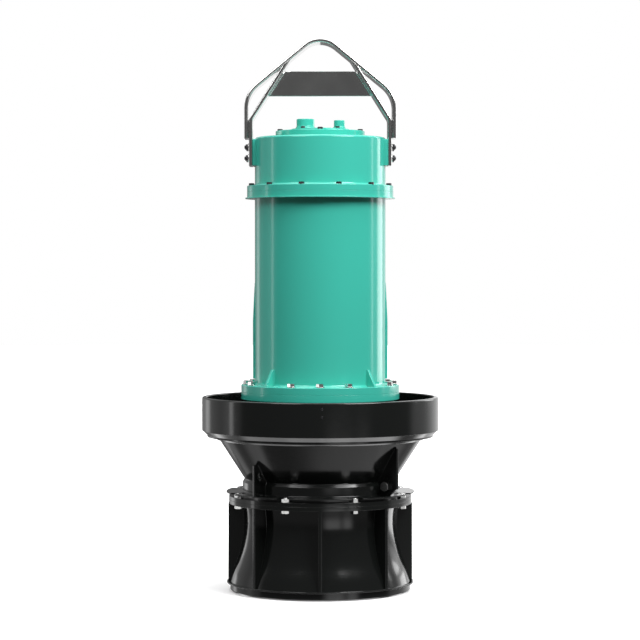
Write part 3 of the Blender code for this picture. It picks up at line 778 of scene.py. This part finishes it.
seal = rubber()
for name, bore in (("power", 0.019), ("signal", 0.011)):
    node = f"{name}_cable_entry"
    entry_low, entry_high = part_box(node)
    centre = (entry_low.x + entry_high.x) / 2
    foot = (entry_high.x - entry_low.x) / 2
    neck = foot - 0.0035
    mouth = entry_high.z
    spot = Matrix.Translation((centre, 0, 0))
    entry_outline = [
        (0.0, lid_high.z, 0.0), (foot, lid_high.z, 0.0), (foot, lid_high.z + 0.0040, 0.0010),
        (neck, lid_high.z + 0.0080, 0.0025), (neck, mouth, 0.0025), (bore, mouth, 0.0012),
        (bore, mouth - 0.006, 0.0), (0.0, mouth - 0.006, 0.0),
    ]
    stub = bmesh.new()
    put(stub, turned(entry_outline, steps=72), spot)
    hang(f"{name}_entry_casting", stub, turquoise, "turquoise_paint", node)
    plug_outline = [
        (0.0, mouth - 0.007, 0.0), (bore + 0.0005, mouth - 0.007, 0.0),
        (bore + 0.0005, mouth - 0.0012, 0.0), (bore * 0.55, mouth - 0.0008, 0.0030),
        (bore * 0.45, mouth - 0.0045, 0.0015), (0.0, mouth - 0.0045, 0.0),
    ]
    grommet = bmesh.new()
    put(grommet, turned(plug_outline, steps=48), spot)
    hang(f"{name}_entry_seal", grommet, seal, "black_paint")
m8, m8_across, m8_head = 0.008, 0.013, 0.0053
ledge_ring, boss_ring = 0.1320, 0.0800
lid_bolts = bmesh.new()
bolt_circle(lid_bolts, small_bolt, ledge_ring, ledge, (0, 90, 180, 270))
boss_bolt = bolt_head(m8, m8_across, m8_head, thin_washer)
bolt_circle(lid_bolts, boss_bolt, boss_ring, lid_high.z, (45, 135, 225, 315))
hang("lid_bolts", lid_bolts, dark, "grey_steel")


# Lifting handle. Flat bar of satin stainless steel, 12 by 120 mm with rolled edges, bent cold to an
# arch, over two cranked legs that are bolted to pads on the head. The joints are welded.
def satin_bar():
    finish, shader, place = new_finish("satin_stainless", metallic=1.0)
    grain = place.noise(700.0, 3.0)
    cloud = place.noise(14.0, 3.0)
    cloud.blend((0.56, 0.56, 0.555), (0.70, 0.70, 0.69)).feed(shader, "Base Color")
    (0.08 + cloud * 0.06 + grain * 0.06).feed(shader, "Roughness")
    place.node("ShaderNodeBump", {"Height": grain * 1e-5}).feed(shader, "Normal")
    return finish


def bar_end(inner, outer, half_width, z, rounding):
    """The end face of a flat bar that stands upright, between two distances from the shaft."""
    bm = bmesh.new()
    spots = ((inner, -half_width), (outer, -half_width), (outer, half_width), (inner, half_width))
    corners = [bm.verts.new((x, y, z)) for x, y in spots]
    bm.faces.new(corners)
    bmesh.ops.bevel(
        bm, geom=corners, offset=rounding, offset_type="OFFSET", affect="VERTICES",
        segments=4, profile=0.5, material=-1,
    )
    bm.faces.ensure_lookup_table()
    return bm, bm.faces[0]


def run_on(bm, end, step):
    """Lengthens a bar straight on from its end face."""
    made = bmesh.ops.extrude_face_region(bm, geom=[end])["geom"]
    moved = [item for item in made if isinstance(item, bmesh.types.BMVert)]
    bmesh.ops.translate(bm, verts=moved, vec=step)
    return next(item for item in made if isinstance(item, bmesh.types.BMFace))


def bend_on(bm, end, centre, degrees, steps):
    """Lengthens a bar round a bend towards -X, about a centre in the XZ plane."""
    made = bmesh.ops.spin(
        bm, geom=[end], cent=(centre[0], 0, centre[1]), axis=(0, -1, 0),
        angle=math.radians(degrees), steps=steps,
    )["geom_last"]
    return next(item for item in made if isinstance(item, bmesh.types.BMFace))


steel = satin_bar()
bar = 0.012
half_bar = 0.060
arch_low, arch_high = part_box("handle_arch")
arch_x = arch_high.x
slope = 39.4
shoulder_z = 1.6344
shoulder_bend, apex_bend = 0.104, 0.086
fall = math.radians(slope)
shoulder_start = shoulder_z - shoulder_bend * math.tan(math.radians(90 - slope) / 2)
apex_centre = shoulder_z + arch_x * math.tan(fall) - apex_bend / math.cos(fall)
straight = arch_x / math.cos(fall) - shoulder_bend * math.tan(math.radians(90 - slope) / 2)
straight -= apex_bend * math.tan(fall)
arch, end = bar_end(arch_x - bar, arch_x, half_bar, arch_low.z, rounding=0.0042)
end = run_on(arch, end, (0, 0, shoulder_start - arch_low.z))
end = bend_on(arch, end, (arch_x - shoulder_bend, shoulder_start), 90 - slope, steps=12)
end = run_on(arch, end, Vector((-math.cos(fall), 0, math.sin(fall))) * straight)
end = bend_on(arch, end, (0, apex_centre), 2 * slope, steps=16)
end = run_on(arch, end, Vector((-math.cos(fall), 0, -math.sin(fall))) * straight)
end = bend_on(arch, end, (shoulder_bend - arch_x, shoulder_start), 90 - slope, steps=12)
run_on(arch, end, (0, 0, arch_low.z - shoulder_start))
hang("lifting_arch", arch, steel, "grey_steel", "handle_arch")

leg_slope = math.radians(57.8)
leg_bend = 0.034
leg_before_cut = 0.30
leg_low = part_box("handle_leg_right")[0].z
leg_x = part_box("handle_leg_right")[1].x
leg_corner = 1.5502
leg_start = leg_corner - leg_bend * math.tan((math.pi / 2 - leg_slope) / 2)
crest = shoulder_z + arch_x * math.tan(fall) - bar / math.cos(fall)
for side, sign in (("left", -1), ("right", 1)):
    leg, end = bar_end(leg_x - bar, leg_x, half_bar, leg_low, rounding=0.0030)
    end = run_on(leg, end, (0, 0, leg_start - leg_low))
    end = bend_on(leg, end, (leg_x - leg_bend, leg_start), 90 - math.degrees(leg_slope), steps=8)
    run_on(leg, end, Vector((-math.cos(leg_slope), 0, math.sin(leg_slope))) * leg_before_cut)
    cut = bmesh.ops.bisect_plane(
        leg, geom=leg.verts[:] + leg.edges[:] + leg.faces[:], plane_co=(0, 0, crest),
        plane_no=(math.sin(fall), 0, math.cos(fall)), clear_outer=True,
    )["geom_cut"]
    bmesh.ops.edgeloop_fill(leg, edges=[item for item in cut if isinstance(item, bmesh.types.BMEdge)])
    bmesh.ops.scale(leg, verts=leg.verts, vec=(sign, 1, 1))
    hang(f"lifting_leg_{side}", leg, steel, "grey_steel", f"handle_leg_{side}")


def block(low, high, rounding):
    """A plate or block between two corners, with rounded edges."""
    bm = bmesh.new()
    middle = (Vector(low) + Vector(high)) / 2
    bmesh.ops.create_cube(bm, size=1)
    bmesh.ops.scale(bm, verts=bm.verts, vec=Vector(high) - Vector(low))
    bmesh.ops.translate(bm, verts=bm.verts, vec=middle)
    bmesh.ops.bevel(
        bm, geom=bm.edges[:], offset=rounding, offset_type="OFFSET", affect="EDGES",
        segments=3, profile=0.5, material=-1,
    )
    return bm


for side in ("left", "right"):
    shim = f"handle_shim_{side}"
    shim_low, shim_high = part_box(shim)
    hang(f"packing_plate_{side}", block(shim_low, shim_high, 0.0006), steel, "grey_steel", shim)

plate_low, plate_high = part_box("handle_cross_plate")
cross = block(plate_low, plate_high, rounding=0.0)
lean = (plate_high.z - plate_low.z) / math.tan(leg_slope)
for corner in cross.verts:
    if corner.co.z > (plate_low.z + plate_high.z) / 2:
        corner.co.x -= math.copysign(lean, corner.co.x)
long_edges = [edge for edge in cross.edges if abs(edge.verts[0].co.x - edge.verts[1].co.x) > 0.1]
bmesh.ops.bevel(
    cross, geom=long_edges, offset=0.0012, offset_type="OFFSET", affect="EDGES",
    segments=3, profile=0.5, material=-1,
)
hang("lifting_cross_plate", cross, steel, "grey_steel", "handle_cross_plate")


# Welds of the handle. Fillet beads join the cross plate to the legs, the legs to the arch, and the
# ends of the arch to the packing plates. Each is a row of overlapping ripples, brushed bright.
def bead(start, finish, radius):
    """A weld bead along a straight joint, with a ripple every 4 mm and rounded ends."""
    ripple_length = 0.004
    run = Vector(finish) - Vector(start)
    steps = max(12, int(run.length / 0.0013))
    turn = run.to_track_quat("Z", "Y")
    sections = []
    for k in range(steps + 1):
        share = k / steps
        end_round = min(1.0, 0.35 + 9 * min(share, 1 - share))
        ripple = 1 + 0.09 * math.sin(share * run.length / ripple_length * 2 * math.pi)
        loop = []
        for j in range(8):
            arm = Vector((math.cos(math.pi / 4 * j), math.sin(math.pi / 4 * j), 0))
            loop.append(Vector(start) + run * share + turn @ (arm * radius * end_round * ripple))
        sections.append(loop)
    return skinned(sections)


plate_bead, arch_bead, shim_bead = 0.0030, 0.0032, 0.0022
beside_plate = 0.0062
bead_half = half_bar - 0.006
plate_foot_x = plate_high.x - 0.001
plate_top_x = plate_high.x - lean - 0.001
meeting = crest - leg_corner - leg_x * math.tan(leg_slope)
joint_x = meeting / (math.tan(fall) - math.tan(leg_slope)) + 0.0008
joint_z = crest - joint_x * math.tan(fall)
shim_x, shim_z = leg_x + 0.0015, arch_low.z - 0.0006
welds = bmesh.new()
for sign in (-1, 1):
    for y in (-beside_plate, beside_plate):
        foot_end = (sign * plate_foot_x, y, plate_low.z + 0.002)
        top_end = (sign * plate_top_x, y, plate_high.z - 0.002)
        put(welds, bead(foot_end, top_end, plate_bead))
    for x, z, radius in ((joint_x, joint_z, arch_bead), (shim_x, shim_z, shim_bead)):
        put(welds, bead((sign * x, -bead_half, z), (sign * x, bead_half, z), radius))
hang("handle_welds", welds, steel, "grey_steel")


# Pads and bolts of the handle. A flat pad cast on each side of the head takes the leg's foot, and
# four blackened M12 bolts with bright washers hold it.
pad_root = 0.195
for side, sign in (("left", -1), ("right", 1)):
    pad_low, pad_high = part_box(f"handle_pad_{side}")
    low, high = Vector(pad_low), Vector(pad_high)
    if sign > 0:
        low.x = pad_root
    else:
        high.x = -pad_root
    hang(f"head_pad_{side}", block(low, high, 0.0025), turquoise, "turquoise_paint", f"handle_pad_{side}")
m12, m12_across, m12_head = 0.012, 0.0185, 0.0080
leg_washer = 0.003
leg_bolt_spots = [(y, z) for z in (1.4230, 1.4590) for y in (-0.034, 0.034)]
leg_washers = bmesh.new()
leg_bolts = bmesh.new()
for sign in (-1, 1):
    outwards = Matrix.Rotation(sign * math.pi / 2, 4, "Y")
    for k, (y, z) in enumerate(leg_bolt_spots):
        own_turn = Matrix.Rotation(math.radians(23 * k + 8), 4, "Z")
        on_leg = Matrix.Translation((sign * leg_x, y, z)) @ outwards
        put(leg_washers, washer(0.005, 0.026, leg_washer), on_leg)
        spot = Matrix.Translation((sign * (leg_x + leg_washer), y, z)) @ outwards @ own_turn
        put(leg_bolts, hexagon(m12_across, m12_head), spot)
        stud = Matrix.Translation((sign * (m12_head - 0.0002), 0, 0)) @ spot
        put(leg_bolts, stud_end(m12 / 2, 0.0045), stud)
hang("leg_bolt_washers", leg_washers, bright, "grey_steel")
hang("leg_bolts", leg_bolts, dark, "grey_steel")


# Studio. A pale floor that glows by itself with painted light, dim round the pump's foot and nearly
# white further out, a white backdrop, and soft lights: a large one above on the right, one above on
# the left, and upright strips at the sides. Dim cards round the pump give the gloss its bands.
def rising(value, start, full, top):
    """Goes smoothly from 0 at the start value to the top at the full value."""
    return value.node("ShaderNodeMapRange", {
        "Value": value, "From Min": start, "From Max": full, "To Min": 0.0, "To Max": top,
    }, {"interpolation_type": "SMOOTHSTEP"})


def card(value, start, full, fading, end, top):
    """Rises smoothly to the top between the first two values, and falls again between the others."""
    return rising(value, start, full, 1.0) * rising(value, end, fading, top)


floor_finish, floor_shader, floor_place = new_finish("studio_floor")
floor_place.noise(0.6).blend((0.86, 0.86, 0.86), (0.90, 0.90, 0.90)).feed(floor_shader, "Base Color")
floor_shader.inputs["Roughness"].default_value = 0.9
# The floor glows by itself with painted light: dim round the pump's foot, nearly white from 2.6 m out. Only
# the camera sees the floor.
floor_shader.inputs["Emission Strength"].default_value = 1.0
away = floor_place.node("ShaderNodeVectorMath", {0: floor_place}, {"operation": "LENGTH"}, output="Value")
painted_floor_glow = rising(away, 0.4, 2.6, 1.0)
painted_floor_glow.blend((0.15, 0.15, 0.15), (0.95, 0.95, 0.95)).feed(floor_shader, "Emission Color")
floor_mesh = bpy.data.meshes.new("studio_floor")
floor_bm = bmesh.new()
bmesh.ops.create_circle(floor_bm, cap_ends=True, radius=24, segments=96)
floor_bm.to_mesh(floor_mesh)
floor_bm.free()
floor_mesh.materials.append(floor_finish)
studio_floor = bpy.data.objects.new("studio_floor", floor_mesh)
bpy.context.scene.collection.objects.link(studio_floor)
studio_floor.visible_glossy = False
studio_floor.visible_diffuse = False

studio = bpy.data.worlds.new("studio")
studio.use_nodes = True
bpy.context.scene.world = studio
sky = Wire(studio.node_tree)
direction = sky.node("ShaderNodeTexCoord", output="Generated")
to_right = direction.node("ShaderNodeSeparateXYZ", {"Vector": direction}, output="X")
to_back = direction.node("ShaderNodeSeparateXYZ", {"Vector": direction}, output="Y")
upwards = direction.node("ShaderNodeSeparateXYZ", {"Vector": direction}, output="Z")
azimuth = sky.math("ARCTAN2", to_right, to_back * -1.0) * math.degrees(1)
off_front = sky.math("ABSOLUTE", azimuth)
behind = rising(to_back, 0.45, 0.82, 1.0)
above = rising(upwards, 0.60, 0.85, 1.5)

both_sides = rising(off_front, 92, 103, 0.30)
right_cards = rising(azimuth, 96, 104, 0.12) + rising(azimuth, 118, 147, 0.50)
low_left_strip = card(azimuth, -152, -143, -138, -133, 0.90) * rising(upwards, 0.06, 0.03, 1.0)
shade_behind = rising(azimuth, -156, -170, 0.22)
left_card = card(azimuth, -112, -100, -87, -79, 0.30)
backdrop = both_sides + right_cards + low_left_strip - shade_behind + left_card

floor_right = card(azimuth, 92, 104, 122, 143, 0.60) + rising(azimuth, 151, 163, 0.80)
floor_left = card(azimuth, -128, -114, -104, -97, 0.55) + card(azimuth, -152, -145, -141, -135, 0.30)
floor_sides = 0.10 + floor_right + floor_left
floor_in_front = card(azimuth, -80, 60, 92, 104, 0.70) * rising(upwards, -0.45, -0.70, 1.0)

two_pools = card(azimuth, 0, 14, 26, 36, 1.4) + card(azimuth, 30, 39, 43, 53, 1.4)
two_pools *= card(upwards, -0.42, -0.20, -0.13, -0.07, 1.0)
tall_strip = card(azimuth, 116, 124, 134, 144, 1.0) * card(upwards, 0.04, 0.08, 0.30, 0.50, 0.9)
low_sides = rising(off_front, 100, 118, 1.7) + card(azimuth, 112, 122, 137, 144, 1.0)
lowest = rising(upwards, -0.70, -0.80, 1.0) * low_sides + rising(upwards, -0.94, -0.975, 0.9)
low_behind = rising(off_front, 146, 154, 2.2) * card(upwards, -0.66, -0.56, -0.46, -0.38, 1.0)

room_in_gloss, room_on_matt = 0.12, 0.08
in_gloss = backdrop * rising(upwards, -0.28, -0.12, 1.0) + floor_sides * rising(upwards, -0.12, -0.28, 1.0)
in_gloss += floor_in_front + two_pools + tall_strip + lowest + low_behind + above + room_in_gloss
on_matt = behind + above + room_on_matt
seen = sky.node("ShaderNodeLightPath", output="Is Camera Ray")
mirrored = sky.node("ShaderNodeLightPath", output="Is Glossy Ray")
glow_of_studio = seen + (1 - seen) * (in_gloss * mirrored + on_matt * (1 - mirrored))
glow_of_studio.feed(studio.node_tree.nodes["Background"], "Color")


def round_pump(azimuth, distance, height):
    turn = math.radians(azimuth)
    return Vector((distance * math.sin(turn), -distance * math.cos(turn), height))


def soft_light(name, place, aim, width, tall, radiance):
    """A soft box at a place, turned to an aim. Radiance 1 is as bright as white paper."""
    lamp = bpy.data.lights.new(name, "AREA")
    lamp.shape = "RECTANGLE"
    lamp.size = width
    lamp.size_y = tall
    lamp.energy = radiance * math.pi * width * tall
    box = bpy.data.objects.new(name, lamp)
    box.location = place
    box.rotation_euler = (Vector(aim) - Vector(place)).to_track_quat("-Z", "Y").to_euler()
    box.visible_camera = False
    bpy.context.scene.collection.objects.link(box)


def level_light(name, azimuth, distance, height, width, tall, radiance):
    """A soft box that looks level at the shaft."""
    soft_light(name, round_pump(azimuth, distance, height), (0, 0, height), width, tall, radiance)


chest = (0, 0, 0.9)
soft_light("key_above_right", round_pump(45, 3.2, 3.4), chest, width=2.2, tall=1.8, radiance=14.0)
soft_light("fill_above_left", round_pump(-38, 3.4, 3.6), chest, width=2.0, tall=1.5, radiance=6.4)
soft_light("overhead", (0, 0, 4.6), (0, 0, 0), width=3.0, tall=3.0, radiance=2.5)
level_light("right_strip", 127.5, 3.0, 1.55, width=1.1, tall=2.0, radiance=3.2)
level_light("right_line", 101, 3.0, 1.55, width=0.20, tall=2.0, radiance=2.6)
level_light("left_line", -90, 3.0, 1.20, width=0.26, tall=2.8, radiance=2.0)
level_light("low_right_strip", 124, 1.25, 0.08, width=0.38, tall=0.16, radiance=2.8)
level_light("low_left_strip", -136, 1.25, 0.15, width=0.35, tall=0.30, radiance=0.45)
bpy.context.scene.view_settings.view_transform = "Standard"
